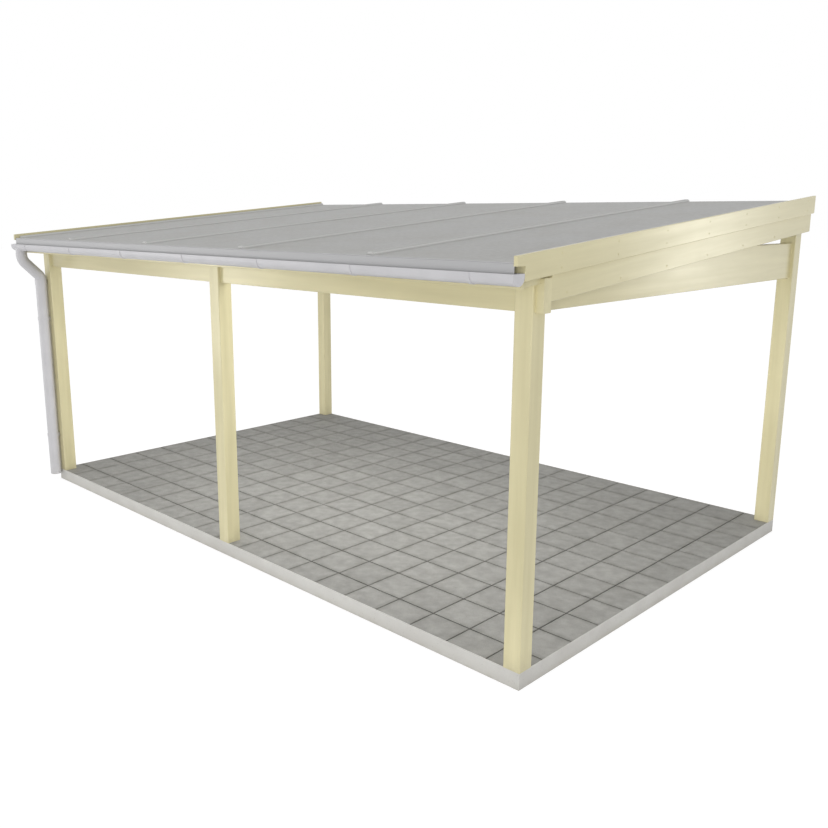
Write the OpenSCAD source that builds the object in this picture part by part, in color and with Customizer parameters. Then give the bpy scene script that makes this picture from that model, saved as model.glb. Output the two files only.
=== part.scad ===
// Lean-to veranda frame: forked posts on a floor slab, beams, rafters, sheet roof, gutter and downpipe.
// The origin is the middle of the slab's underside, +Z is up and the gutter side faces -Y.

/* [Floor] */
// Width over the outer faces of the posts
frame_w = 5660; // [4600:10:6600]
// Depth over the outer faces of the posts
frame_d = 3554; // [2600:2:4600]
// Thickness of the floor slab
slab_t = 103; // [60:1:200]

/* [Posts and beams] */
// Side of a square post
post_w = 115; // [90:1:150]
// Thickness of the beams, which sit in the middle of the posts
beam_t = 66; // [45:1:80]
// Clear height under the front beam and the tie beams
head_h = 2012; // [1800:1:2500]
// Depth of the front beam
front_beam_h = 180; // [135:1:270]
// Depth of a tie beam
tie_beam_h = 270; // [180:1:315]
// Depth of the back beam
back_beam_h = 135; // [90:1:160]
// Eased edge of posts and beams
edge_ease = 4; // [1:0.5:8]

/* [Rafters] */
// Roof pitch in degrees
roof_pitch = 4.93; // [3:0.01:8]
// Thickness of a rafter
rafter_w = 45; // [36:1:48]
// Depth of a rafter, square to the slope
rafter_h = 120; // [95:1:170]
// Spacing of the inner rafters
rafter_spacing = 1233; // [900:1:1250]
// Seat cut in a rafter at the outer face of the front beam
front_seat = 29; // [18:1:40]
// Seat cut in a rafter at the outer face of the back beam
back_seat = 20; // [8:1:40]
// Reach of the rafter tails past the front posts
tail_reach = 150; // [80:1:300]
// Reach of the roof past the back posts
back_reach = 16; // [5:1:60]

/* [Boards] */
// Thickness of the fascia and barge boards
board_t = 22; // [16:1:28]
// Eased edge of the boards
board_ease = 3; // [1:0.5:6]
// Depth of the fascia board
fascia_h = 120; // [95:1:170]
// Depth of the upper barge board
upper_barge_h = 133; // [110:1:160]
// Depth of the lower barge board
lower_barge_h = 170; // [120:1:220]
// Overlap of the upper barge board on the lower one
barge_lap = 31; // [15:1:50]
// Height of the barge board above the roof sheets
barge_rise = 36; // [25:1:60]
// Height of the barge nose that reaches over the gutter
nose_h = 51; // [40:1:60]
// Gap between a tie beam and its end rafter
rafter_gap = 7; // [2:0.5:15]

/* [Roof] */
// Thickness of a roof sheet
sheet_t = 16; // [10:1:32]
// Reach of the sheets past the fascia board
sheet_reach = 56; // [30:1:80]
// Gap between two sheets at a glazing bar
sheet_gap = 8; // [6:0.5:12]
// Width of a glazing bar
bar_w = 60; // [44:1:80]
// Height of a glazing bar above the sheets
bar_h = 18; // [12:1:24]
// Wall of the eave profile
eave_t = 3; // [2:0.5:4]
// Width of the eave profile's flange on the sheets
eave_flange = 35; // [20:1:50]

/* [Rainwater] */
// Width of the gutter
gutter_w = 94; // [80:1:110]
// Wall of the gutter
gutter_t = 2.5; // [1.5:0.5:4]
// Height of the gutter's straight rim above its round bottom
gutter_rim = 15; // [6:1:30]
// Drop from the underside of the sheets to the gutter's rim
gutter_drop = 36; // [20:1:60]
// Number of gutter brackets
brackets = 7; // [3:1:12]
// Outside diameter of the downpipe
pipe_d = 100; // [70:1:100]
// Wall of the downpipe
pipe_t = 2; // [1.5:0.5:3]
// Wall of the swan neck
neck_t = 3; // [2.5:0.5:5]
// Place of the downpipe from the outer face of the left post
pipe_in = 28; // [10:1:60]
// Gap between the downpipe and the front post face
pipe_gap = 9; // [6:1:20]
// Bend of the swan neck in degrees
swan_bend = 45; // [35:1:55]
// Height of the downpipe's end above the ground
pipe_foot = 73; // [20:1:200]

/* [Hidden] */
$fn = 64;
cream = "#e6dcb4";
sheet_grey = "#a9a9a6";
bar_grey = "#b4b4b2";
gutter_grey = "#c8c8cc";
slab_grey = "#c3c3c0";

// Outer faces of the frame and the floor level
x_left = -frame_w / 2;
x_right = frame_w / 2;
y_front = -frame_d / 2;
y_back = frame_d / 2;
z_floor = slab_t;

// Beams, and the faces of the posts on the inside of the frame
cheek_t = (post_w - beam_t) / 2;
z_head = z_floor + head_h;
z_front_beam_top = z_head + front_beam_h;
y_fb_out = y_front + cheek_t;
y_fb_in = y_fb_out + beam_t;
y_bb_out = y_back - cheek_t;
y_bb_in = y_bb_out - beam_t;
y_front_in = y_front + post_w;
y_back_in = y_back - post_w;

// Roof planes as heights over y
slope = tan(roof_pitch);
function plumb(t) = t / cos(roof_pitch);
function rafter_under(y) = z_front_beam_top - front_seat + (y - y_fb_out) * slope;
function rafter_top(y) = rafter_under(y) + plumb(rafter_h);
function sheet_top(y) = rafter_top(y) + plumb(sheet_t);
function barge_top(y) = sheet_top(y) + barge_rise;
z_back_beam_top = rafter_under(y_bb_out) + back_seat;
z_back_beam = z_back_beam_top - back_beam_h;
head_clear = 3;
z_front_cheek = rafter_under(y_front) - head_clear;
z_back_cheek = rafter_under(y_back_in) - head_clear;

// Eaves and roof ends
y_tail = y_front - tail_reach;
y_fascia = y_tail - board_t;
y_sheet = y_fascia - sheet_reach;
y_end = y_back + back_reach;
nose_reach = 10;
y_nose = y_sheet - nose_reach;
barge_gap = rafter_gap + rafter_w - cheek_t;
upper_gap = barge_gap + board_t;
barge_out = upper_gap + board_t;
lower_top_drop = upper_barge_h - barge_lap;

// Roof bays
inner_rafters = 4;
edge_play = 2;
function rafter_x(i) = (i - (inner_rafters + 1) / 2) * rafter_spacing;
bay_edges = concat(
    [x_left - upper_gap + edge_play - sheet_gap / 2],
    [for (i = [1 : inner_rafters]) rafter_x(i)],
    [x_right + upper_gap - edge_play + sheet_gap / 2]);
bar_play = 1;
y_bar = y_sheet + eave_flange + bar_play;
bar_side_drop = 11;
bar_knee_in = 7.5;
bar_knee_drop = 3.5;
bar_flat_in = 16.5;
drip_dip = 8;

// Gutter and downpipe
cut_over = 1;
fit_gap = 0.3;
bracket_t = 3;
bracket_w = 25;
gutter_r = gutter_w / 2;
cap_t = 3;
bead_r = 5;
y_gutter = y_fascia - bracket_t - fit_gap - gutter_r;
z_rim = rafter_top(y_sheet) - gutter_drop;
z_gutter = z_rim - gutter_rim;
x_gutter = x_right + barge_out - cap_t;
bracket_inset = 280;
bracket_up = 25;
bracket_rim_drop = 1;
pipe_r = pipe_d / 2;
x_pipe = x_left + pipe_in;
y_pipe = y_front - pipe_gap - pipe_r;
spigot_r = min(pipe_r - neck_t, gutter_r) - fit_gap;
spigot_t = 4.7;
outlet_l = 60;
z_outlet = z_gutter - gutter_r - outlet_l;
outlet_lip = 6;
saddle_h = 28;
neck_drop = 20;
bend_drop = 23;
z_bend_top = z_outlet - bend_drop;
z_bend_low = z_bend_top - (y_pipe - y_gutter) / tan(swan_bend);
swan_run = (y_pipe - y_gutter) / sin(swan_bend);
collar_l = 50;
collar_t = 3;
collar_drop = 25;
z_collar = z_bend_low - collar_drop - collar_l;
z_collar_top = z_collar + collar_l;
pipe_play = 1;
z_pipe_top = z_collar_top - pipe_play;
clip_t = 3;
clip_h = 30;
clip_foot = 36;
clip_levels = [z_floor + 350, z_floor + 1500];

// Extrudes an outline drawn in Y and Z along X, from x over the length
module along_x(x, length) {
    translate([x, 0, 0]) rotate([90, 0, 90]) linear_extrude(length) children();
}

// Extrudes an outline drawn in X and height down the roof slope, from the back edge to y_low
module down_slope(x, y_low) {
    translate([x, y_end, sheet_top(y_end)]) rotate([roof_pitch, 0, 0]) rotate([90, 0, 0])
        linear_extrude(plumb(y_end - y_low)) children();
}

// Rectangle with eased corners, as a section
module eased_section(w, h, e = edge_ease) {
    polygon([[e, 0], [w - e, 0], [w, e], [w, h - e], [w - e, h], [e, h], [0, h - e], [0, e]]);
}

// Copies a piece of the right side to the left
module on_side(side) {
    mirror([side < 0 ? 1 : 0, 0, 0]) children();
}

module floor_slab() {
    color(slab_grey) translate([x_left, y_front, 0]) cube([frame_w, frame_d, slab_t]);
}

// Post with a slot for its beam between two cheeks
module forked_post(x, y, z_seat, z_cheek) {
    color(cream) translate([x, y, z_floor]) difference() {
        linear_extrude(z_cheek - z_floor) eased_section(post_w, post_w);
        translate([-cut_over, cheek_t, z_seat - z_floor])
            cube([post_w + 2 * cut_over, beam_t, z_cheek - z_seat + cut_over]);
    }
}

module front_post(x) {
    forked_post(x, y_front, z_head, z_front_cheek);
}

module back_post(x) {
    forked_post(x, y_back_in, z_back_beam, z_back_cheek);
}

// Front beam, run out past the end posts to carry the end rafters and to stop the lower barge boards
module front_beam() {
    color(cream) along_x(x_left - upper_gap, frame_w + 2 * upper_gap)
        translate([y_fb_out, z_head]) eased_section(beam_t, front_beam_h);
}

module back_beam() {
    color(cream) along_x(x_left, frame_w)
        translate([y_bb_in, z_back_beam]) eased_section(beam_t, back_beam_h);
}

// Tie beam between a front and a back post, in the middle of their inner faces
module tie_beam(side) {
    color(cream) on_side(side) translate([x_right - cheek_t - beam_t, y_back_in, z_head]) rotate([90, 0, 0])
        linear_extrude(y_back_in - y_front_in) eased_section(beam_t, tie_beam_h);
}

// Rafter seen from the side, with a seat cut over each beam
module rafter_side() {
    polygon([
        [y_tail, rafter_under(y_tail)],
        [y_fb_out, rafter_under(y_fb_out)], [y_fb_out, z_front_beam_top],
        [y_fb_in, z_front_beam_top], [y_fb_in, rafter_under(y_fb_in)],
        [y_bb_in, rafter_under(y_bb_in)], [y_bb_in, z_back_beam_top],
        [y_bb_out, z_back_beam_top], [y_bb_out, rafter_under(y_bb_out)],
        [y_end, rafter_under(y_end)], [y_end, rafter_top(y_end)], [y_tail, rafter_top(y_tail)]]);
}

module inner_rafter(i) {
    color(cream) along_x(rafter_x(i) - rafter_w / 2, rafter_w) rafter_side();
}

module end_rafter(side) {
    color(cream) on_side(side) along_x(x_right + barge_gap - rafter_w, rafter_w) rafter_side();
}

// Eased board along the slope, its top a drop below the barge line, with plumb ends at y_low and y_end
module sloped_board(x, y_low, drop, depth) {
    h = depth * cos(roof_pitch);
    length = plumb(y_end - y_low) + 2 * depth;
    intersection() {
        translate([x, y_end, barge_top(y_end) - drop]) rotate([roof_pitch, 0, 0]) rotate([90, 0, 0])
            translate([0, -h, -depth]) linear_extrude(length) eased_section(board_t, h, board_ease);
        translate([x - board_t, y_low, 0]) cube([3 * board_t, y_end - y_low, barge_top(y_end) + depth]);
    }
}

module lower_barge_board(side) {
    color(cream) on_side(side) sloped_board(x_right + barge_gap, y_fb_in, lower_top_drop, lower_barge_h);
}

// Upper barge board, cut back under its nose to let the gutter through
module upper_barge_board(side) {
    x = x_right + upper_gap;
    color(cream) on_side(side) difference() {
        sloped_board(x, y_nose, 0, upper_barge_h);
        translate([x - board_t, y_nose - board_t, 0])
            cube([3 * board_t, y_fascia - y_nose + board_t, barge_top(y_nose) - nose_h]);
    }
}

module fascia_board() {
    color(cream) along_x(x_left - upper_gap, frame_w + 2 * upper_gap)
        translate([y_fascia, rafter_top(y_fascia) - fascia_h]) eased_section(board_t, fascia_h, board_ease);
}

module roof_sheet(i) {
    x0 = bay_edges[i - 1] + sheet_gap / 2;
    x1 = bay_edges[i] - sheet_gap / 2;
    color(sheet_grey) along_x(x0, x1 - x0) polygon([
        [y_sheet, rafter_top(y_sheet)], [y_end, rafter_top(y_end)],
        [y_end, sheet_top(y_end)], [y_sheet, sheet_top(y_sheet)]]);
}

// Left half of a bar's rounded cap, from its foot to the flat on top
function half_cap() = [
    [-bar_w / 2, 0],
    [-bar_w / 2, bar_h - bar_side_drop],
    [bar_knee_in - bar_w / 2, bar_h - bar_knee_drop],
    [bar_flat_in - bar_w / 2, bar_h]];
function mirrored(points) = [for (i = [len(points) - 1 : -1 : 0]) [-points[i][0], points[i][1]]];

// Cap of a glazing bar with a stem that stands on the rafter between two sheets
module bar_section() {
    stem = sheet_gap / 2 - bar_play;
    foot = [[stem, 0], [stem, -sheet_t], [-stem, -sheet_t], [-stem, 0]];
    polygon(concat(half_cap(), mirrored(half_cap()), foot));
}

module glazing_bar(i) {
    color(bar_grey) down_slope(rafter_x(i), y_bar) bar_section();
}

// Half bar that closes the roof against a barge board
module edge_bar(side) {
    color(bar_grey) on_side(side) down_slope(x_right + upper_gap - fit_gap, y_bar)
        polygon(concat(half_cap(), [[0, bar_h], [0, 0]]));
}

// Folded profile round the front edge of the sheets, with a rolled bead and a drip leg into the gutter
module eave_profile() {
    y_out = y_sheet - eave_t;
    y_lip = y_sheet + eave_flange / 2;
    y_flange = y_sheet + eave_flange;
    z_drip = z_rim - drip_dip;
    reach = x_right + upper_gap - edge_play;
    color(bar_grey) along_x(-reach, 2 * reach) union() {
        polygon([
            [y_out, z_drip], [y_sheet, z_drip],
            [y_sheet, rafter_top(y_sheet) - eave_t], [y_lip, rafter_top(y_lip) - eave_t],
            [y_lip, rafter_top(y_lip)], [y_sheet, rafter_top(y_sheet)],
            [y_sheet, sheet_top(y_sheet)], [y_flange, sheet_top(y_flange)],
            [y_flange, sheet_top(y_flange) + eave_t], [y_out, sheet_top(y_out) + eave_t]]);
        translate([y_out, sheet_top(y_out)]) circle(eave_t);
    }
}

// Gutter outline of a given half width, flat at the rim
module trough(r, rim) {
    intersection() {
        union() {
            circle(r);
            translate([-r, 0]) square([2 * r, r + rim]);
        }
        translate([-r, -r]) square([2 * r, r + rim]);
    }
}

module at_gutter(x, length) {
    along_x(x, length) translate([y_gutter, z_gutter]) children();
}

module gutter() {
    bead_y = -gutter_r + bead_r;
    color(gutter_grey) difference() {
        at_gutter(-x_gutter, 2 * x_gutter) union() {
            difference() {
                trough(gutter_r, gutter_rim);
                trough(gutter_r - gutter_t, gutter_rim + cut_over);
            }
            translate([bead_y, gutter_rim - bead_r]) circle(bead_r);
        }
        translate([x_pipe, y_gutter, z_outlet])
            cylinder(r = spigot_r - spigot_t - outlet_lip, h = outlet_l + gutter_r);
    }
}

module gutter_cap(side) {
    color(gutter_grey) on_side(side) at_gutter(x_gutter, cap_t) trough(gutter_r, gutter_rim);
}

module gutter_brackets() {
    r_in = gutter_r + fit_gap;
    r_out = r_in + bracket_t;
    first = -x_gutter + bracket_inset - bracket_w / 2;
    step = 2 * (x_gutter - bracket_inset) / (brackets - 1);
    color(gutter_grey) for (i = [0 : brackets - 1]) at_gutter(first + i * step, bracket_w) union() {
        difference() {
            trough(r_out, gutter_rim - bracket_rim_drop);
            trough(r_in, gutter_rim);
        }
        translate([r_in, 0]) square([bracket_t, gutter_rim + bracket_up]);
    }
}

// Spigot under the gutter, saddled to its round bottom, for the swan neck to slip over
module gutter_outlet() {
    spigot_h = outlet_l + saddle_h;
    color(gutter_grey) difference() {
        translate([x_pipe, y_gutter, z_outlet]) difference() {
            cylinder(r = spigot_r, h = spigot_h);
            translate([0, 0, -cut_over]) cylinder(r = spigot_r - spigot_t, h = spigot_h + 2 * cut_over);
        }
        at_gutter(x_pipe - pipe_d, 2 * pipe_d) trough(gutter_r, gutter_r);
    }
}

// Space past the mitre at a bend, or before it
module mitre_space(y, z, past) {
    reach = 4 * pipe_d;
    translate([0, y, z]) rotate([180 + swan_bend / 2, 0, 0])
        translate([-reach / 2, -reach / 2, past ? 0 : -reach]) cube(reach);
}

// Mitred swan-neck run of a given radius, from under the gutter to the collar on the downpipe
module swan_run_solid(r) {
    top_l = z_outlet + outlet_l - neck_drop - z_bend_top;
    low_l = z_bend_low - z_collar_top;
    difference() {
        translate([0, y_gutter, z_bend_top - pipe_d]) cylinder(r = r, h = top_l + pipe_d);
        mitre_space(y_gutter, z_bend_top, true);
    }
    difference() {
        translate([0, y_gutter, z_bend_top]) rotate([180 + swan_bend, 0, 0])
            translate([0, 0, -pipe_d]) cylinder(r = r, h = swan_run + 2 * pipe_d);
        mitre_space(y_gutter, z_bend_top, false);
        mitre_space(y_pipe, z_bend_low, true);
    }
    difference() {
        translate([0, y_pipe, z_collar_top]) cylinder(r = r, h = low_l + pipe_d);
        mitre_space(y_pipe, z_bend_low, false);
    }
}

// Collar at the foot of the swan neck that slips over the downpipe
module swan_collar() {
    collar_r = pipe_r + fit_gap;
    translate([0, y_pipe, z_collar]) difference() {
        cylinder(r = collar_r + collar_t, h = collar_l);
        translate([0, 0, -pipe_play]) cylinder(r = collar_r, h = collar_l);
        cylinder(r = pipe_r - neck_t, h = collar_l + cut_over);
    }
}

module swan_neck() {
    color(gutter_grey) translate([x_pipe, 0, 0]) union() {
        difference() {
            swan_run_solid(pipe_r);
            swan_run_solid(pipe_r - neck_t);
        }
        swan_collar();
    }
}

module downpipe() {
    length = z_pipe_top - pipe_foot;
    color(gutter_grey) translate([x_pipe, y_pipe, pipe_foot]) difference() {
        cylinder(r = pipe_r, h = length);
        translate([0, 0, -cut_over]) cylinder(r = pipe_r - pipe_t, h = length + 2 * cut_over);
    }
}

// Ring round the downpipe with a foot on the face of the post
module pipe_clip(z) {
    r_in = pipe_r + fit_gap;
    foot_x = max(x_left + edge_ease, x_pipe - clip_foot / 2) - x_pipe;
    color(gutter_grey) translate([x_pipe, y_pipe, z]) difference() {
        union() {
            cylinder(r = r_in + clip_t, h = clip_h);
            translate([foot_x, 0, 0]) cube([clip_foot, y_front - y_pipe, clip_h]);
        }
        translate([0, 0, -cut_over]) cylinder(r = r_in, h = clip_h + 2 * cut_over);
    }
}

floor_slab();
front_post(x_left);  // front_left_post
front_post(-post_w / 2);  // front_middle_post
front_post(x_right - post_w);  // front_right_post
back_post(x_left);  // back_left_post
back_post(x_right - post_w);  // back_right_post
front_beam();
back_beam();
tie_beam(-1);  // left_tie_beam
tie_beam(1);  // right_tie_beam
end_rafter(-1);  // left_end_rafter
end_rafter(1);  // right_end_rafter
for (i = [1 : inner_rafters]) inner_rafter(i);
lower_barge_board(-1);  // left_lower_barge_board
lower_barge_board(1);  // right_lower_barge_board
upper_barge_board(-1);  // left_upper_barge_board
upper_barge_board(1);  // right_upper_barge_board
fascia_board();
for (i = [1 : inner_rafters + 1]) roof_sheet(i);
for (i = [1 : inner_rafters]) glazing_bar(i);
edge_bar(-1);  // left_edge_bar
edge_bar(1);  // right_edge_bar
eave_profile();
gutter();
gutter_cap(-1);  // left_gutter_cap
gutter_cap(1);  // right_gutter_cap
gutter_brackets();
gutter_outlet();
swan_neck();
downpipe();
pipe_clip(clip_levels[1]);  // upper_pipe_clip
pipe_clip(clip_levels[0]);  // lower_pipe_clip
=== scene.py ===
# %% [markdown]
# # Dressing a lean-to veranda frame
# The object is a garden veranda: five cream painted posts on a tiled floor, two deep tie beams, a roof of
# grey sheets with a low pitch, and a gutter with a downpipe along the low side. The timber, the roof and
# the rainwater pieces come in as finished solids, in metres and in place. This lesson gives each of them
# its finish, lays the floor tiles, bends the swan neck, drives the screws, and sets up camera and light.

# %% Load the frame
import math

import bpy
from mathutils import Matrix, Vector


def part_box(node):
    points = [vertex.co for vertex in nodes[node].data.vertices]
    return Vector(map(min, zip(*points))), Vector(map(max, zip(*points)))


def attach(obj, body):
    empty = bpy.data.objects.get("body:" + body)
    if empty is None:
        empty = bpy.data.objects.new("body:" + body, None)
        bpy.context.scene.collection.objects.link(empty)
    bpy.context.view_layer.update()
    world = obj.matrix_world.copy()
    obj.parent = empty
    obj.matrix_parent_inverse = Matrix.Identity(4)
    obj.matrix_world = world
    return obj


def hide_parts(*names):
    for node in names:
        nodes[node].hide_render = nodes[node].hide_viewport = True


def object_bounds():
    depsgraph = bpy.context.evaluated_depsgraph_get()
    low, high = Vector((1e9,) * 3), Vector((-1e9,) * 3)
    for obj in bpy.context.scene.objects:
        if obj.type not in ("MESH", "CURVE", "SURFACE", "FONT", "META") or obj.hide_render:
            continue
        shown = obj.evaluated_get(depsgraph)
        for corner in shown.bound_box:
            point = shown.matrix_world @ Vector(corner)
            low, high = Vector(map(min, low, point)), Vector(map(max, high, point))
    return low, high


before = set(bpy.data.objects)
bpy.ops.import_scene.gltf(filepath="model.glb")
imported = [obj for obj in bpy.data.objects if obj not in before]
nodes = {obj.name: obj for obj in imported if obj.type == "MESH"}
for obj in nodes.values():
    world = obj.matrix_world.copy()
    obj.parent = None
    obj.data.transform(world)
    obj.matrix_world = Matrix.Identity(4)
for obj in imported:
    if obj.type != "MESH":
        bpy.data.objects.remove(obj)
cad_low, cad_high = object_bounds()
scene = bpy.context.scene
scene.view_settings.view_transform = "Standard"
print(f"{len(nodes)} pieces came in, {[round(v, 3) for v in cad_high - cad_low]} m over all")

# %% [markdown]
# ## The camera
# A camera is matched to a photograph by its place, its direction, its focal length and the point of the
# picture that it aims at. All four were worked out from the straight edges of the posts, beams and floor.
# The aim isn't in the middle of this picture, so the lens is shifted by the difference, as on a view camera.

# %% Camera
photo_side = 828
focal_px = 872.78
aim_px = Vector((380.95, 399.71))
sensor = 36.0
camera_place = Vector((5.4258, -5.4512, 2.6197))
camera_down = 12.128
camera_turn = 45.104
view_reach = 200.0

bpy.ops.object.camera_add(
    location=camera_place,
    rotation=(math.radians(90 - camera_down), 0, math.radians(camera_turn)),
)
camera = bpy.context.active_object
camera.data.sensor_width = sensor
camera.data.lens = focal_px / photo_side * sensor
camera.data.shift_x = 0.5 - aim_px.x / photo_side
camera.data.shift_y = aim_px.y / photo_side - 0.5
camera.data.clip_end = view_reach
scene.camera = camera
print(f"lens {camera.data.lens:.1f} mm, shift {camera.data.shift_x:.3f} {camera.data.shift_y:.3f}")

# %% [markdown]
# ## Helpers for modelling by hand
# Every operator works on what is selected, so a piece starts with nothing else selected. A box is added at
# its size and place and its scale is applied, so that bevels come out even. Faces and edges are then picked
# in code by a rule on their place or direction, where a person would click on them.

# %% Modelling helpers
touch = 1e-5
level_normal = 0.9


def faces_up(face):
    return face.normal.z > level_normal


def every(part):
    return True


def deselect_all():
    bpy.ops.object.select_all(action="DESELECT")


def finish_place(piece):
    """Puts a piece's place and turn into its mesh, so that its object sits at the origin."""
    deselect_all()
    piece.select_set(True)
    bpy.context.view_layer.objects.active = piece
    bpy.ops.object.transform_apply(location=True, rotation=True, scale=True)
    return piece


def add_box(name, low, high):
    deselect_all()
    bpy.ops.mesh.primitive_cube_add(size=1, location=(low + high) / 2, scale=high - low)
    piece = bpy.context.active_object
    piece.name = name
    return finish_place(piece)


def edit_selected(piece, kind, rule):
    """Enters edit mode with the faces or edges selected for which the rule is true."""
    bpy.ops.object.mode_set(mode="EDIT")
    bpy.ops.mesh.select_mode(type=kind)
    bpy.ops.mesh.select_all(action="DESELECT")
    bpy.ops.object.mode_set(mode="OBJECT")
    parts = piece.data.polygons if kind == "FACE" else piece.data.edges
    for part in parts:
        part.select = rule(part)
    bpy.ops.object.mode_set(mode="EDIT")


def edge_ends(piece, edge):
    return [piece.data.vertices[i].co for i in edge.vertices]


def leave_edit_mode():
    bpy.ops.mesh.select_all(action="SELECT")
    bpy.ops.mesh.normals_make_consistent(inside=False)
    bpy.ops.object.mode_set(mode="OBJECT")


def triangles(piece):
    return sum(len(face.vertices) - 2 for face in piece.data.polygons)


# %% [markdown]
# ## The concrete slab
# The posts stand on a concrete slab whose floor is tiled up to a thin rim. The slab could stay the plain
# block that came in, but then its tiles would only be painted on. So a box of the same size is given a
# shallow tray for the tiles: its top face is inset by the rim and pushed down by the tiles' thickness.

# %% Slab with a tray for the tiles
slab_low, slab_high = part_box("floor_slab")
tray_rim = 0.004
tray_depth = 0.012
slab_bevel = 0.002

concrete_slab = add_box("concrete_slab", slab_low, slab_high)
edit_selected(concrete_slab, "FACE", faces_up)
bpy.ops.mesh.inset(thickness=tray_rim)
bpy.ops.mesh.extrude_region_move(TRANSFORM_OT_translate={"value": (0, 0, -tray_depth)})
leave_edit_mode()


def on_slab_outline(edge):
    """True for the top edges of the slab's outside and for its four upright corners."""
    ends = edge_ends(concrete_slab, edge)
    outside = all(
        min(abs(p.x - slab_low.x), abs(p.x - slab_high.x)) < touch
        or min(abs(p.y - slab_low.y), abs(p.y - slab_high.y)) < touch
        for p in ends
    )
    on_top = all(abs(p.z - slab_high.z) < touch for p in ends)
    upright = abs(ends[0].z - ends[1].z) > tray_depth + touch
    return outside and (on_top or upright)


edit_selected(concrete_slab, "EDGE", on_slab_outline)
bpy.ops.mesh.bevel(offset=slab_bevel, segments=2)
leave_edit_mode()
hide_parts("floor_slab")
print(f"slab with a tray of {tray_depth * 1000:.0f} mm, {triangles(concrete_slab)} triangles")

# %% [markdown]
# ## The floor tiles
# Square tiles of about 30 cm start full at the left and the back edge and are cut at the other two. The
# joints between rows are a little wider than those between columns. One tile is modelled with softened top
# edges, two array modifiers lay the field, and two bisect cuts with filled faces saw off what runs past the
# rim. The cut edges stay sharp, as sawn tiles are.

# %% Tile field
tile_side = 0.294
column_pitch = 0.301
row_pitch = 0.3024
tile_bevel = 0.004
bed_low = Vector((slab_low.x + tray_rim, slab_low.y + tray_rim, slab_high.z - tray_depth))
bed_high = Vector((slab_high.x - tray_rim, slab_high.y - tray_rim, slab_high.z))

floor_tiles = add_box(
    "floor_tiles",
    Vector((bed_low.x, bed_high.y - tile_side, bed_low.z)),
    Vector((bed_low.x + tile_side, bed_high.y, bed_high.z)),
)
edit_selected(
    floor_tiles,
    "EDGE",
    lambda edge: all(p.z > bed_high.z - touch for p in edge_ends(floor_tiles, edge)),
)
bpy.ops.mesh.bevel(offset=tile_bevel, segments=2)
leave_edit_mode()

tile_columns = math.ceil((bed_high.x - bed_low.x) / column_pitch)
tile_rows = math.ceil((bed_high.y - bed_low.y) / row_pitch)
for count, step in ((tile_columns, (column_pitch, 0, 0)), (tile_rows, (0, -row_pitch, 0))):
    array = floor_tiles.modifiers.new("row", "ARRAY")
    array.count = count
    array.use_relative_offset = False
    array.use_constant_offset = True
    array.constant_offset_displace = step
    bpy.ops.object.modifier_apply(modifier=array.name)

for corner, normal in ((bed_high, (1, 0, 0)), (bed_low, (0, -1, 0))):
    edit_selected(floor_tiles, "FACE", every)
    bpy.ops.mesh.bisect(plane_co=corner, plane_no=normal, use_fill=True, clear_outer=True)
    leave_edit_mode()
print(f"{tile_columns} by {tile_rows} tiles, {triangles(floor_tiles)} triangles")

# %% [markdown]
# ## The swan neck
# From the gutter the water goes back to the post through a swan neck: a moulded pipe with a wide bend at the
# top and a tight one at the foot, where a collar slips over the downpipe. The solid that came in has mitred
# bends. Here the neck is drawn as one skin: a circle at the foot of the collar is extruded up, drawn in, spun
# through the two bends with a straight run between them, and given its wall by a Solidify modifier.

# %% Swan neck with round bends
neck_low, neck_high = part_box("swan_neck")
pipe_low, pipe_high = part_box("downpipe")
outlet_low, outlet_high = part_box("gutter_outlet")
collar_mid = (pipe_low + pipe_high) / 2
neck_radius = (pipe_high.x - pipe_low.x) / 2
collar_radius = (neck_high.x - neck_low.x) / 2
collar_tall = 0.050
neck_wall = 0.003
bend_angle = math.radians(45)
low_bend = 0.060
high_bend = 0.115
crease = math.radians(35)
set_back = collar_mid.y - (outlet_low.y + outlet_high.y) / 2
bends_back = (low_bend + high_bend) * (1 - math.cos(bend_angle))
slant = (set_back - bends_back) / math.sin(bend_angle)
run_up = Vector((0, -math.sin(bend_angle), math.cos(bend_angle)))
x_axis = (1, 0, 0)


def draw_ring(offset):
    """Extrudes the selected ring of edges by an offset."""
    bpy.ops.mesh.extrude_region_move(TRANSFORM_OT_translate={"value": offset})


deselect_all()
bpy.ops.mesh.primitive_circle_add(
    vertices=48, radius=collar_radius, location=(collar_mid.x, collar_mid.y, neck_low.z)
)
swan_neck_tube = finish_place(bpy.context.active_object)
swan_neck_tube.name = "swan_neck_tube"
edit_selected(swan_neck_tube, "EDGE", every)
draw_ring((0, 0, collar_tall))
draw_ring((0, 0, 0))
bend_foot = Vector((collar_mid.x, collar_mid.y, neck_low.z + collar_tall))
shrink = neck_radius / collar_radius
bpy.ops.transform.resize(value=(shrink, shrink, 1), center_override=bend_foot)
low_centre = bend_foot - Vector((0, low_bend, 0))
bpy.ops.mesh.spin(steps=10, angle=-bend_angle, center=low_centre, axis=x_axis)
draw_ring(run_up * slant)
bends_up = (low_bend + high_bend) * math.sin(bend_angle) + slant * math.cos(bend_angle)
high_centre = bend_foot + Vector((0, high_bend - set_back, bends_up))
bpy.ops.mesh.spin(steps=14, angle=bend_angle, center=high_centre, axis=x_axis)
draw_ring((0, 0, neck_high.z - high_centre.z))
leave_edit_mode()
wall = swan_neck_tube.modifiers.new("wall", "SOLIDIFY")
wall.thickness = neck_wall
wall.offset = -1
bpy.ops.object.modifier_apply(modifier=wall.name)
bpy.ops.object.shade_smooth_by_angle(angle=crease)
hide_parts("swan_neck")
neck_top = max(vertex.co.z for vertex in swan_neck_tube.data.vertices)
print(f"neck up to {neck_top:.4f} of {neck_high.z:.4f} m, {triangles(swan_neck_tube)} triangles")

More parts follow.
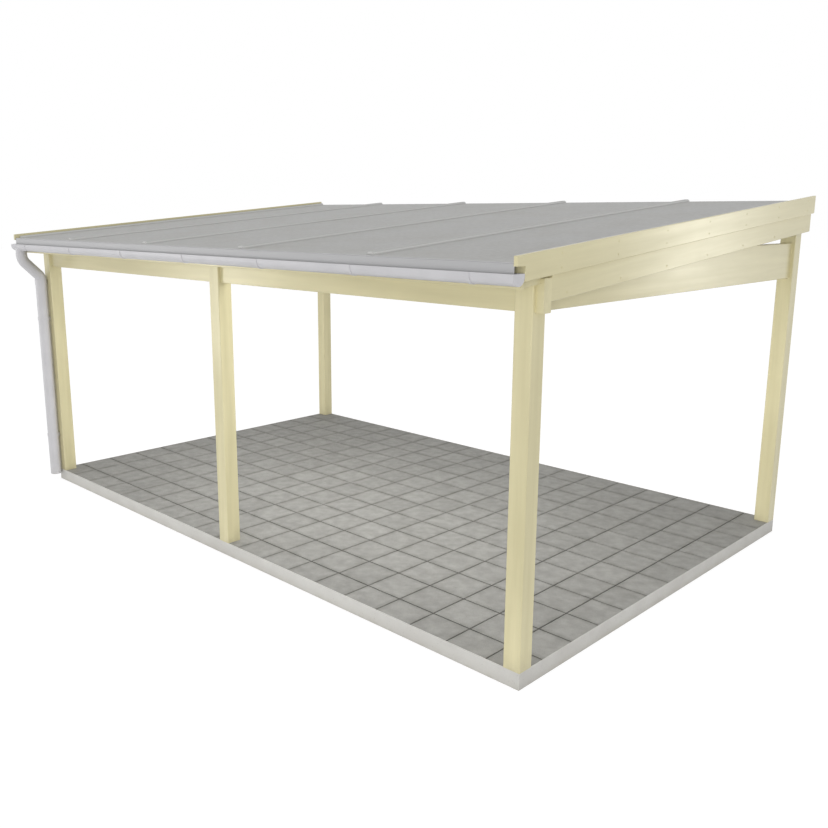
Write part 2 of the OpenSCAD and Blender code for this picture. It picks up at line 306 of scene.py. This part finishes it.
# %% [markdown]
# ## A screw head
# The boards are screwed to the timber behind them, and the heads are painted over. One flat head is made
# from a disc: its top face is inset and lifted for the rounded rim, then inset again and pushed in for the
# driver. Copies of it, each with its own mesh, are joined to one piece for each side of the roof.

# %% Screw head and its copies
head_radius = 0.005
head_height = 0.0016
rim_width = head_radius * 0.25
rim_rise = head_height * 0.15
recess_inset = head_radius * 0.3
recess_depth = 0.0012


def screw_head():
    """A round head with a recess, its foot at the origin and its top towards +Z."""
    deselect_all()
    bpy.ops.mesh.primitive_cylinder_add(
        vertices=12, radius=head_radius, depth=head_height, location=(0, 0, head_height / 2)
    )
    head = finish_place(bpy.context.active_object)
    edit_selected(head, "FACE", faces_up)
    bpy.ops.mesh.inset(thickness=rim_width, depth=rim_rise)
    bpy.ops.mesh.inset(thickness=recess_inset)
    bpy.ops.mesh.extrude_region_move(TRANSFORM_OT_translate={"value": (0, 0, -recess_depth)})
    leave_edit_mode()
    return head


def copies_of(master, name, places, turn):
    """One joined piece of copies of the master, each at a place and all at one turn."""
    deselect_all()
    for place in places:
        copy = master.copy()
        copy.data = master.data.copy()
        copy.location = place
        copy.rotation_euler = turn
        scene.collection.objects.link(copy)
        copy.select_set(True)
        bpy.context.view_layer.objects.active = copy
    bpy.ops.object.join()
    piece = bpy.context.active_object
    bpy.data.objects.remove(master)
    piece.name = name
    return finish_place(piece)


# %% [markdown]
# ## Screws along the barge boards
# Each side of the roof is closed by two boards, the upper one lapped over the lower one. The boards run up at
# the roof's pitch, so the screws are set out from the boards' top edges, whose height follows from a board's
# highest corner and the slope of the roof sheets. The upper board has two rows of screws, the lower one row.

# %% Barge board screws
sheet_low, sheet_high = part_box("roof_sheet_3")
sheet_thick = 0.016
roof_slope = (sheet_high.z - sheet_low.z - sheet_thick) / (sheet_high.y - sheet_low.y)
screws_per_row = 7
row_margin = 0.14
row_drops = {"upper": (0.030, 0.103), "lower": (0.142,)}
quarter = math.pi / 2


def board_screws(side):
    """The screws of both barge boards on one side, which is left or right."""
    outward = 1 if side == "right" else -1
    places = []
    for layer, drops in row_drops.items():
        low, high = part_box(f"{side}_{layer}_barge_board")
        x = high.x if side == "right" else low.x
        first = max(low.y, slab_low.y) + row_margin
        step = (high.y - row_margin - first) / (screws_per_row - 1)
        for i in range(screws_per_row):
            y = first + i * step
            top = high.z - (high.y - y) * roof_slope
            places += [Vector((x, y, top - drop)) for drop in drops]
    return copies_of(screw_head(), f"{side}_board_screws", places, (0, outward * quarter, 0))


sides = ("left", "right")
screws = [board_screws(side) for side in sides]
print(f"roof slope {roof_slope:.4f}, {sum(triangles(piece) for piece in screws)} triangles of screws")

# %% [markdown]
# ## Node helpers
# A material is a small machine of nodes. Short helpers keep the wiring readable: one adds a node and sets or
# links its inputs by name, two do sums, one stretches a range of values into another, and one mixes colours.
# Noise seldom leaves its middle range, so one helper spreads out just that. Noise that is squeezed more along
# two axes than along the third draws streaks.

# %% Node helpers
noise_low = 0.3
noise_high = 0.7


def plug_in(tree, socket, value):
    """Links an output into a socket, or sets the socket's own value."""
    if isinstance(value, bpy.types.NodeSocket):
        tree.links.new(value, socket)
    else:
        socket.default_value = value


def add_node(tree, kind, inputs, **settings):
    node = tree.nodes.new(kind)
    for key, value in settings.items():
        setattr(node, key, value)
    for key, value in inputs.items():
        plug_in(tree, node.inputs[key], value)
    return node


def sums(tree, operation, *values, clamp=False):
    inputs = dict(enumerate(values))
    return add_node(tree, "ShaderNodeMath", inputs, operation=operation, use_clamp=clamp).outputs["Value"]


def vector_sums(tree, operation, *values):
    inputs = dict(enumerate(values))
    return add_node(tree, "ShaderNodeVectorMath", inputs, operation=operation).outputs["Vector"]


def weighed(tree, first, share, second):
    """A share of the first value and the rest of the second one."""
    return sums(tree, "MULTIPLY_ADD", first, share, sums(tree, "MULTIPLY", second, 1 - share))


def stretch(tree, value, old_low, old_high, new_low, new_high):
    inputs = {"Value": value, "From Min": old_low, "From Max": old_high}
    inputs.update({"To Min": new_low, "To Max": new_high})
    return add_node(tree, "ShaderNodeMapRange", inputs).outputs["Result"]


def spread(tree, value, low, high):
    """Stretches the range in which noise mostly lies into another one."""
    return stretch(tree, value, noise_low, noise_high, low, high)


def blend(tree, factor, first, second):
    """Mixes two colours by a factor from 0 to 1.

    A Mix node has its sockets for colours behind those for numbers and for vectors.
    """
    node = add_node(tree, "ShaderNodeMix", {}, data_type="RGBA")
    factor_in, first_in, second_in = node.inputs[0], node.inputs[6], node.inputs[7]
    plug_in(tree, factor_in, factor)
    plug_in(tree, first_in, first)
    plug_in(tree, second_in, second)
    return node.outputs[2]


def stain(tree, colour, mask, share, tint):
    """Mixes a share of a tint into a colour where a mask is 1."""
    return blend(tree, sums(tree, "MULTIPLY", mask, share), colour, tint)


def noise(tree, vector, scale, detail):
    inputs = {"Vector": vector, "Scale": scale, "Detail": detail}
    return add_node(tree, "ShaderNodeTexNoise", inputs).outputs["Fac"]


def squeezed(tree, vector, scale):
    return add_node(tree, "ShaderNodeMapping", {"Vector": vector, "Scale": scale}).outputs["Vector"]


def streaky_noise(tree, vector, squeeze, detail):
    return noise(tree, squeezed(tree, vector, squeeze), 1.0, detail)


def paint(red, green, blue):
    """A colour as it is mixed on a screen, 0 to 255, in the linear values that shaders take."""
    channels = [c / 255 for c in (red, green, blue)]
    linear = [c / 12.92 if c <= 0.04045 else ((c + 0.055) / 1.055) ** 2.4 for c in channels]
    return (*linear, 1.0)


def new_group(name, inputs, outputs):
    """An empty effect with named sockets, and its input and output nodes."""
    group = bpy.data.node_groups.new(name, "ShaderNodeTree")
    for label, kind in inputs.items():
        group.interface.new_socket(label, in_out="INPUT", socket_type=kind)
    for label in outputs:
        group.interface.new_socket(label, in_out="OUTPUT", socket_type="NodeSocketFloat")
    return group, group.nodes.new("NodeGroupInput").outputs, group.nodes.new("NodeGroupOutput").inputs


def use_group(tree, group, **inputs):
    return add_node(tree, "ShaderNodeGroup", inputs, node_tree=group).outputs


# %% [markdown]
# ## The effect of grain under paint
# Two coats of paint don't hide timber altogether. Long streaks of early and late wood stay as a faint change
# of tone, knots shine through as soft spots, and the brush leaves fine lines along the grain. The effect is
# built for a grain along X. Noise that is squeezed in Y and Z draws the streaks and the brush marks.

# %% Painted grain group
streak_scale = (0.9, 16.0, 16.0)
cloud_scale = (1.3, 2.6, 2.6)
pore_scale = (3.0, 85.0, 85.0)
brush_scale = (5.0, 420.0, 420.0)
knot_scale = (1.7, 5.5, 5.5)
knot_core = 0.04
knot_edge = 0.13
knot_odds = 0.45
streak_share = 0.6
pore_share = 0.6

painted_grain, grain_in, grain_out = new_group(
    "painted_grain", {"Vector": "NodeSocketVector"}, ("Tone", "Height", "Knots")
)
along = grain_in["Vector"]
streaks = streaky_noise(painted_grain, along, streak_scale, detail=5.0)
clouds = streaky_noise(painted_grain, along, cloud_scale, detail=3.0)
pores = streaky_noise(painted_grain, along, pore_scale, detail=4.0)
brush = streaky_noise(painted_grain, along, brush_scale, detail=2.0)

knot_inputs = {"Vector": squeezed(painted_grain, along, knot_scale), "Scale": 1.0}
knot_cells = add_node(painted_grain, "ShaderNodeTexVoronoi", knot_inputs).outputs
knot_spots = stretch(painted_grain, knot_cells["Distance"], knot_core, knot_edge, 1.0, 0.0)
knot_dice = add_node(painted_grain, "ShaderNodeSeparateColor", {"Color": knot_cells["Color"]})
knot_here = sums(painted_grain, "GREATER_THAN", knot_dice.outputs["Red"], 1 - knot_odds)

painted_grain.links.new(weighed(painted_grain, streaks, streak_share, clouds), grain_out["Tone"])
painted_grain.links.new(weighed(painted_grain, pores, pore_share, brush), grain_out["Height"])
painted_grain.links.new(sums(painted_grain, "MULTIPLY", knot_spots, knot_here), grain_out["Knots"])
print(f"{painted_grain.name}: {len(painted_grain.nodes)} nodes")

# %% [markdown]
# ## The effect of an uneven surface
# Cast concrete, pressed tiles and moulded plastic are never one even grey. A cloudy noise gives broad patches
# and a finer one gives grain. One input sets how large the patches are, so that the same effect serves a
# slab, a tile and a pipe.

# %% Mottle group
speck_factor = 14.0

mottle, mottle_in, mottle_out = new_group(
    "mottle", {"Vector": "NodeSocketVector", "Scale": "NodeSocketFloat"}, ("Clouds", "Specks")
)
speck_scale = sums(mottle, "MULTIPLY", mottle_in["Scale"], speck_factor)
mottle_clouds = noise(mottle, mottle_in["Vector"], mottle_in["Scale"], detail=4.0)
mottle_specks = noise(mottle, mottle_in["Vector"], speck_scale, detail=3.0)
mottle.links.new(mottle_clouds, mottle_out["Clouds"])
mottle.links.new(mottle_specks, mottle_out["Specks"])
print(f"{mottle.name}: {len(mottle.nodes)} nodes")

# %% [markdown]
# ## The effect of splashed grime
# Rain throws a little soil up from the ground, so the foot of anything that stands outdoors goes dull first.
# The mask is 1 at a given height, fades out over a given reach, and is broken up by noise.

# %% Splash group
drop_scale = 14.0
drop_range = (0.35, 0.65)
fewest_drops = 0.2
fade_power = 2.0

splash, splash_in, splash_out = new_group(
    "splash",
    {"Vector": "NodeSocketVector", "Foot": "NodeSocketFloat", "Reach": "NodeSocketFloat"},
    ("Mask",),
)
height = add_node(splash, "ShaderNodeSeparateXYZ", {"Vector": splash_in["Vector"]}).outputs["Z"]
above = sums(splash, "SUBTRACT", height, splash_in["Foot"])
risen = sums(splash, "DIVIDE", above, splash_in["Reach"], clamp=True)
faded = sums(splash, "POWER", sums(splash, "SUBTRACT", 1.0, risen), fade_power)
drop_noise = noise(splash, splash_in["Vector"], drop_scale, detail=6.0)
drops = stretch(splash, drop_noise, *drop_range, fewest_drops, 1.0)
splash.links.new(sums(splash, "MULTIPLY", faded, drops), splash_out["Mask"])
print(f"{splash.name}: {len(splash.nodes)} nodes")

# %% [markdown]
# ## Painted timber
# All the timber wears the same cream satin paint, but the grain follows each member: along X in the beams,
# along Y in the tie beams, up the roof's slope in the rafters and boards, and along Z in the posts. So one
# recipe makes four materials that differ only in the turn of a Mapping node.

# %% Painted timber materials
cream_light = paint(222, 214, 175)
cream_deep = paint(207, 199, 160)
knot_stain = paint(190, 172, 122)
foot_grime = paint(150, 142, 118)
sheen_tint = paint(255, 248, 215)
tone_range = (0.36, 0.64)
timber_rough = (0.26, 0.20)
knot_share = 0.14
timber_grime = 0.35
timber_reach = 0.16


def fresh_material(name):
    """A new material, its node tree, its shader and the place on the piece."""
    material = bpy.data.materials.new(name)
    material.use_nodes = True
    tree = material.node_tree
    place = add_node(tree, "ShaderNodeTexCoord", {}).outputs["Object"]
    return material, tree, tree.nodes["Principled BSDF"], place


def coat(tree, shader, colour, roughness):
    tree.links.new(colour, shader.inputs["Base Color"])
    tree.links.new(roughness, shader.inputs["Roughness"])


def raise_bumps(tree, shader, height, distance, strength):
    inputs = {"Height": height, "Distance": distance, "Strength": strength}
    tree.links.new(add_node(tree, "ShaderNodeBump", inputs).outputs["Normal"], shader.inputs["Normal"])


def painted_timber(name, turn):
    material, tree, shader, place = fresh_material(name)
    turned = add_node(tree, "ShaderNodeMapping", {"Vector": place, "Rotation": turn}).outputs["Vector"]
    grain = use_group(tree, painted_grain, Vector=turned)
    grime = use_group(tree, splash, Vector=place, Foot=slab_high.z, Reach=timber_reach)["Mask"]
    colour = blend(tree, stretch(tree, grain["Tone"], *tone_range, 0.0, 1.0), cream_deep, cream_light)
    colour = stain(tree, colour, grain["Knots"], knot_share, knot_stain)
    colour = stain(tree, colour, grime, timber_grime, foot_grime)
    coat(tree, shader, colour, stretch(tree, grain["Tone"], *tone_range, *timber_rough))
    shader.inputs["Specular Tint"].default_value = sheen_tint
    raise_bumps(tree, shader, grain["Height"], distance=0.0006, strength=0.12)
    return material


timber_along_x = painted_timber("painted_timber_along_x", (0, 0, 0))
timber_along_y = painted_timber("painted_timber_along_y", (0, 0, -quarter))
timber_up_slope = painted_timber("painted_timber_up_slope", (-math.atan(roof_slope), 0, -quarter))
timber_upright = painted_timber("painted_timber_upright", (0, quarter, 0))

# %% [markdown]
# Each member gets its material by name. A solid that came in keeps its mesh, and only its material changes.

# %% Hand out the paint


def give(material, *names):
    for name in names:
        nodes[name].data.materials.clear()
        nodes[name].data.materials.append(material)
    print(f"{material.name}: {len(names)} pieces")


boards = [f"{side}_{layer}_barge_board" for side in sides for layer in ("upper", "lower")]
rafters = [f"{side}_end_rafter" for side in sides] + [f"rafter_{i}" for i in range(1, 5)]
posts = [f"front_{place}_post" for place in ("left", "middle", "right")]
posts += [f"back_{side}_post" for side in sides]
give(timber_along_x, "front_beam", "back_beam", "fascia_board")
give(timber_along_y, "left_tie_beam", "right_tie_beam")
give(timber_up_slope, *rafters, *boards)
give(timber_upright, *posts)
for piece in screws:
    piece.data.materials.append(timber_up_slope)

# %% [markdown]
# ## Roof sheets
# The roof is of grey multiwall sheets: two thin skins with webs between them that run down the slope. The
# webs show as very faint stripes, and a sheet that lies flat gathers dust in soft clouds. A wave texture
# draws the webs, and the mottle effect the dust. At scale 1 the waves are pi / 10 long, so the scale is
# that length over the step from web to web.

# %% Roof sheet material
sheet_grey = paint(181, 181, 179)
sheet_dust = paint(175, 174, 170)
sheet_web = paint(150, 150, 150)
sheet_rough = (0.42, 0.58)
dust_range = (0.4, 0.75)
web_share = 0.05
web_step = 0.020
wave_length = math.pi / 10

sheet_finish, tree, shader, place = fresh_material("grey_roof_sheet")
wave_inputs = {"Vector": place, "Scale": wave_length / web_step}
webs = add_node(tree, "ShaderNodeTexWave", wave_inputs, bands_direction="X").outputs["Fac"]
dust = use_group(tree, mottle, Vector=place, Scale=2.4)
colour = blend(tree, stretch(tree, dust["Clouds"], *dust_range, 0.0, 1.0), sheet_grey, sheet_dust)
colour = stain(tree, colour, webs, web_share, sheet_web)
coat(tree, shader, colour, spread(tree, dust["Specks"], *sheet_rough))
shader.inputs["Specular IOR Level"].default_value = 0.3
raise_bumps(tree, shader, webs, distance=0.0002, strength=0.1)
give(sheet_finish, *(f"roof_sheet_{i}" for i in range(1, 6)))

# %% [markdown]
# ## Aluminium profiles
# Glazing bars, edge bars and the eave profile are extruded aluminium with a satin, lightly coated surface.
# Extrusion leaves die lines along the length, which squeezed noise draws in roughness and in relief. What
# faces up holds a film of dust, and the flanks are painted lighter against their shade, so the normal picks
# between two tones.

# %% Profile materials
profile_dust = paint(173, 173, 170)
bar_flank_lit = paint(203, 203, 201)
eave_flank_lit = paint(185, 185, 186)
profile_rough = (0.42, 0.54)
dust_holds = (0.7, 0.97)
thin_dust = 0.8
die_across = 700.0
die_along = 2.0


def profile_metal(name, lines, lit_flank):
    """Aluminium with die lines at a scale for each axis, and the tone of its flanks, painted lighter against
    their shade.
    """
    material, tree, shader, place = fresh_material(name)
    die_lines = streaky_noise(tree, place, lines, detail=3.0)
    film = use_group(tree, mottle, Vector=place, Scale=5.0)
    facing = add_node(tree, "ShaderNodeNewGeometry", {}).outputs["Normal"]
    upward = add_node(tree, "ShaderNodeSeparateXYZ", {"Vector": facing}).outputs["Z"]
    settled = spread(tree, film["Clouds"], thin_dust, 1.0)
    dust_and_flank_light = sums(tree, "MULTIPLY", stretch(tree, upward, *dust_holds, 0.0, 1.0), settled)
    # Painted light: the flanks take the lighter tone to offset their shade, and up-facing faces take the dust
    # tone.
    colour = blend(tree, dust_and_flank_light, lit_flank, profile_dust)
    coat(tree, shader, colour, spread(tree, die_lines, *profile_rough))
    shader.inputs["Metallic"].default_value = 0.15
    raise_bumps(tree, shader, die_lines, distance=0.0003, strength=0.25)
    return material


bar_metal = profile_metal("profile_metal_up_slope", (die_across, die_along, die_across), bar_flank_lit)
eave_metal = profile_metal("profile_metal_along_x", (die_along, die_across, die_across), eave_flank_lit)
give(bar_metal, "left_edge_bar", "right_edge_bar", *(f"glazing_bar_{i}" for i in range(1, 5)))
give(eave_metal, "eave_profile")

# %% [markdown]
# ## Rainwater pieces
# Gutter, outlet, swan neck and pipe are pale grey moulded plastic, a little duller where dust has settled and
# towards the ground.

# %% Rainwater material
plastic_pale = paint(203, 202, 205)
plastic_deep = paint(197, 196, 199)
plastic_grime = paint(150, 146, 136)
plastic_rough = (0.34, 0.42)
pipe_grime = 0.4
pipe_reach = 0.4

rainwater, tree, shader, place = fresh_material("pale_grey_plastic")
film = use_group(tree, mottle, Vector=place, Scale=6.0)
grime = use_group(tree, splash, Vector=place, Foot=slab_low.z, Reach=pipe_reach)["Mask"]
colour = blend(tree, spread(tree, film["Clouds"], 0.0, 1.0), plastic_deep, plastic_pale)
colour = stain(tree, colour, grime, pipe_grime, plastic_grime)
coat(tree, shader, colour, spread(tree, film["Specks"], *plastic_rough))
raise_bumps(tree, shader, film["Specks"], distance=0.0002, strength=0.05)
give(rainwater, "gutter", "left_gutter_cap", "right_gutter_cap", "gutter_brackets", "gutter_outlet")
give(rainwater, "downpipe", "upper_pipe_clip", "lower_pipe_clip")
swan_neck_tube.data.materials.append(rainwater)

# %% [markdown]
# ## Concrete and mortar
# The slab's sides are fair-faced concrete: pale, cloudy, with small blow holes where air stayed in the form.
# Cell noise gives the holes, as dark specks and as dents. The mortar in the joints is darker and sandy.

# %% Concrete material
concrete_pale = paint(210, 209, 205)
concrete_deep = paint(201, 199, 195)
blow_hole = paint(140, 137, 130)
concrete_rough = (0.75, 0.9)
hole_core = 0.06
hole_edge = 0.12
hole_share = 0.5
sand_share = 0.12
sand_relief = 0.5
slab_grime = 0.3
slab_reach = 0.09

slab_finish, tree, shader, place = fresh_material("fair_faced_concrete")
cast = use_group(tree, mottle, Vector=place, Scale=7.0)
cells = add_node(tree, "ShaderNodeTexVoronoi", {"Vector": place, "Scale": 38.0}).outputs["Distance"]
holes = stretch(tree, cells, hole_core, hole_edge, 1.0, 0.0)
grime = use_group(tree, splash, Vector=place, Foot=slab_low.z, Reach=slab_reach)["Mask"]
colour = blend(tree, spread(tree, cast["Clouds"], 0.0, 1.0), concrete_deep, concrete_pale)
colour = stain(tree, colour, cast["Specks"], sand_share, blow_hole)
colour = stain(tree, colour, holes, hole_share, blow_hole)
colour = stain(tree, colour, grime, slab_grime, foot_grime)
coat(tree, shader, colour, spread(tree, cast["Specks"], *concrete_rough))
relief = sums(tree, "SUBTRACT", sums(tree, "MULTIPLY", cast["Specks"], sand_relief), holes)
raise_bumps(tree, shader, relief, distance=0.001, strength=0.4)

# %% Mortar material
mortar_deep = paint(110, 109, 104)
mortar_pale = paint(126, 124, 118)
mortar_rough = (0.85, 0.95)

mortar, tree, shader, place = fresh_material("joint_mortar")
sand = use_group(tree, mottle, Vector=place, Scale=30.0)
colour = blend(tree, sand["Clouds"], mortar_deep, mortar_pale)
coat(tree, shader, colour, spread(tree, sand["Specks"], *mortar_rough))
raise_bumps(tree, shader, sand["Specks"], distance=0.0006, strength=0.5)

concrete_slab.data.materials.append(slab_finish)
concrete_slab.data.materials.append(mortar)
for face in concrete_slab.data.polygons:
    in_tray = faces_up(face) and face.center.z < slab_high.z - tray_depth / 2
    face.material_index = 1 if in_tray else 0
print(f"{concrete_slab.name}: {len(concrete_slab.data.materials)} materials")

# %% [markdown]
# ## Tiles
# The tiles are fine concrete, a shade darker than the slab, and no two are quite alike. Each tile's own tone
# comes from a random value for its column and row, counted from the corner where the tiles were started.
# A tile is painted darker towards its edges, as painted shade along the joints, more so in its darker
# patches.

# %% Tile material
tile_pale = paint(154, 153, 149)
tile_deep = paint(128, 127, 123)
tile_speck = paint(104, 103, 97)
tile_edge_shade = paint(108, 107, 101)
tile_rough = (0.6, 0.8)
own_share = 0.3
edge_range = (0.36, 0.49)
edge_shade_share = 0.55
pale_patch_edge_shade = 0.5
speck_range = (0.55, 0.7)
speck_share = 0.35

tile_finish, tree, shader, place = fresh_material("fine_concrete_tile")
half_joint_x = (column_pitch - tile_side) / 2
half_joint_y = (row_pitch - tile_side) / 2
first_corner = Vector((bed_low.x - half_joint_x, bed_high.y + half_joint_y, 0))
per_metre = (1 / column_pitch, 1 / row_pitch, 0)
counted = vector_sums(tree, "MULTIPLY", vector_sums(tree, "SUBTRACT", place, first_corner), per_metre)
column_row = vector_sums(tree, "FLOOR", counted)
own_tone = add_node(tree, "ShaderNodeTexWhiteNoise", {"Vector": column_row}).outputs["Value"]
in_tile = vector_sums(tree, "FRACTION", counted)
in_tile = add_node(tree, "ShaderNodeSeparateXYZ", {"Vector": in_tile}).outputs
from_middle = [sums(tree, "ABSOLUTE", sums(tree, "SUBTRACT", in_tile[axis], 0.5)) for axis in "XY"]
edge_shade_mask = stretch(tree, sums(tree, "MAXIMUM", *from_middle), *edge_range, 0.0, edge_shade_share)
pressed = use_group(tree, mottle, Vector=place, Scale=13.0)
patches = spread(tree, pressed["Clouds"], 0.0, 1.0)
edge_shade_by_patch = spread(tree, pressed["Clouds"], 1.0, pale_patch_edge_shade)
colour = blend(tree, weighed(tree, own_tone, own_share, patches), tile_deep, tile_pale)
# Painted shade: each tile goes darker towards its joints.
colour = stain(tree, colour, edge_shade_mask, edge_shade_by_patch, tile_edge_shade)
colour = blend(tree, stretch(tree, pressed["Specks"], *speck_range, 0.0, speck_share), colour, tile_speck)
coat(tree, shader, colour, spread(tree, pressed["Specks"], *tile_rough))
raise_bumps(tree, shader, pressed["Specks"], distance=0.0005, strength=0.3)
floor_tiles.data.materials.append(tile_finish)
print(f"{tile_finish.name}: {len(tree.nodes)} nodes")

# %% [markdown]
# ## Daylight
# The picture has even daylight with no hard shadow. A plain white world gives that. It shows as full white to
# the camera and to anything that mirrors it, and lights the object a little less strongly.

# %% World
daylight = 0.63
white = (1, 1, 1, 1)


def seen_directly(tree):
    """1 for what the camera sees, straight or in a mirror or through glass, and 0 for scattered light."""
    path = add_node(tree, "ShaderNodeLightPath", {}).outputs
    straight = sums(tree, "MAXIMUM", path["Is Camera Ray"], path["Is Glossy Ray"])
    return sums(tree, "MAXIMUM", straight, path["Is Transmission Ray"])


scene.world = bpy.data.worlds.new("daylight")
scene.world.use_nodes = True
tree = scene.world.node_tree
sky = tree.nodes["Background"]
sky.inputs["Color"].default_value = white
tree.links.new(stretch(tree, seen_directly(tree), 0.0, 1.0, daylight, 1.0), sky.inputs["Strength"])
print(f"{scene.world.name}: {daylight} on the object, 1 to the camera")

# %% [markdown]
# ## Soft boxes
# Four lamps join the daylight. Two soft boxes stand where the satin paint throws back a broad gleam towards
# the camera: one in front to the left for the front beam, one behind to the right for the right-hand boards.
# The second one is there for its gleam alone. Daylight that comes through the sheets could be traced through
# them, but that is slow and noisy. So a wide weak lamp lies just under the roof and looks down. A far fill
# softens the shade from the front right. Its gleam would glare on the roof from behind, so it has none.

# %% Soft boxes


def soft_box(name, place, target, width, tall, glow, lights=True, gleams=True):
    """A rectangular lamp that faces a point. Its glow is how bright its face is, 1 being white.

    A lamp can be kept from lighting surfaces, or from showing in their gloss.
    """
    aim = (target - place).to_track_quat("-Z", "Y").to_euler()
    bpy.ops.object.light_add(type="AREA", location=place, rotation=aim)
    lamp = bpy.context.active_object
    lamp.name = name
    lamp.data.shape = "RECTANGLE"
    lamp.data.size = width
    lamp.data.size_y = tall
    lamp.data.energy = glow * math.pi * width * tall
    lamp.visible_camera = False
    lamp.visible_diffuse = lights
    lamp.visible_glossy = gleams
    print(f"{name}: {lamp.data.energy:.0f} W")


soft_box(
    "front_box",
    place=Vector((-7.15, -6.95, 1.6)),
    target=Vector((0.2, -1.75, 2.1)),
    width=1.3,
    tall=3.0,
    glow=5.6,
)
soft_box(
    "side_box",
    place=Vector((6.8, 7.9, 2.4)),
    target=Vector((2.9, -0.2, 2.4)),
    width=0.9,
    tall=2.6,
    glow=6.5,
    lights=False,
)
under_roof = Vector((0.3, -0.65, 2.30))
soft_box(
    "roof_glow",
    place=under_roof,
    target=under_roof + Vector((0, roof_slope, -1)),
    width=4.8,
    tall=2.0,
    glow=2.85,
)
soft_box(
    "fill_box",
    place=Vector((13.5, -20.0, 2.6)),
    target=Vector((0, 0, 1.4)),
    width=8.0,
    tall=5.0,
    glow=11.5,
    gleams=False,
)

# %% [markdown]
# ## Ground
# The object stands on plain pale ground that runs into the white of the world. To the camera, part of the
# ground's brightness is its own glow, so that it comes out white while the soft shadow still shows on it.

# %% Ground
ground_span = 120.0
ground_tone = (0.85, 0.85, 0.85, 1)
ground_glow = 1.22
glow_share = 0.7

deselect_all()
bpy.ops.mesh.primitive_plane_add(size=ground_span, location=(0, 0, cad_low.z))
ground = bpy.context.active_object
ground.name = "ground"
ground_finish, tree, shader, _ = fresh_material("pale_ground")
shader.inputs["Base Color"].default_value = ground_tone
shader.inputs["Roughness"].default_value = 1.0
glow = add_node(tree, "ShaderNodeEmission", {"Color": white, "Strength": ground_glow}).outputs["Emission"]
share = sums(tree, "MULTIPLY", seen_directly(tree), glow_share)
mixed = add_node(tree, "ShaderNodeMixShader", {0: share, 1: shader.outputs["BSDF"], 2: glow})
tree.links.new(mixed.outputs["Shader"], tree.nodes["Material Output"].inputs["Surface"])
ground.data.materials.append(ground_finish)
print(f"{ground.name}: {ground_span:.0f} m wide")

# %% [markdown]
# ## Fasten everything
# Every new piece, listed under the finish it belongs to, rides on the one body of the frame.

# %% Finish
made = {
    "floor_slab": (concrete_slab, floor_tiles),
    "rainwater": (swan_neck_tube,),
    "painted_timber": screws,
}
for slot, pieces in made.items():
    for piece in pieces:
        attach(piece, "root")
